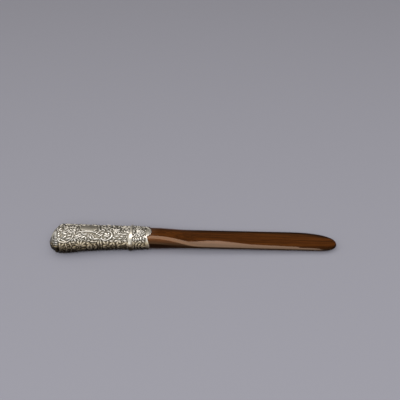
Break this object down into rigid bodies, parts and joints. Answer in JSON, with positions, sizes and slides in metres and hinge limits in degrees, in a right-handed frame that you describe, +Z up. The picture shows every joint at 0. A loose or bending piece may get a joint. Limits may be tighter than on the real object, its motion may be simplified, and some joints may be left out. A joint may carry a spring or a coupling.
{
  "type": "letter opener",
  "caption": "Letter opener with an embossed silver pistol-shaped handle, a plain neck ring, a lobed collar and a broad flat wooden blade with a rounded tip.",
  "frame": {"origin": "middle of the underside of the box round the opener, on the table that it lies on", "axes": "+X along the opener from the butt of the handle to the tip of the blade, +Z up from the table, the handle swells towards -Y"},
  "size_m": [0.3458, 0.05, 0.0264],
  "materials": {
    "embossed_silver": "embossed sterling silver, polished on the high points and dark in the hollows",
    "plain_silver": "polished sterling silver",
    "pitch": "dull black filling, out of sight",
    "blade_wood": "dark brown hardwood with a French polish"
  },
  "bodies": {
    "root": {"handle_upper_shell": "embossed_silver", "handle_lower_shell": "embossed_silver", "pitch_core": "pitch", "neck_ring": "plain_silver", "collar": "embossed_silver", "blade": "blade_wood"}
  },
  "joints": []
}
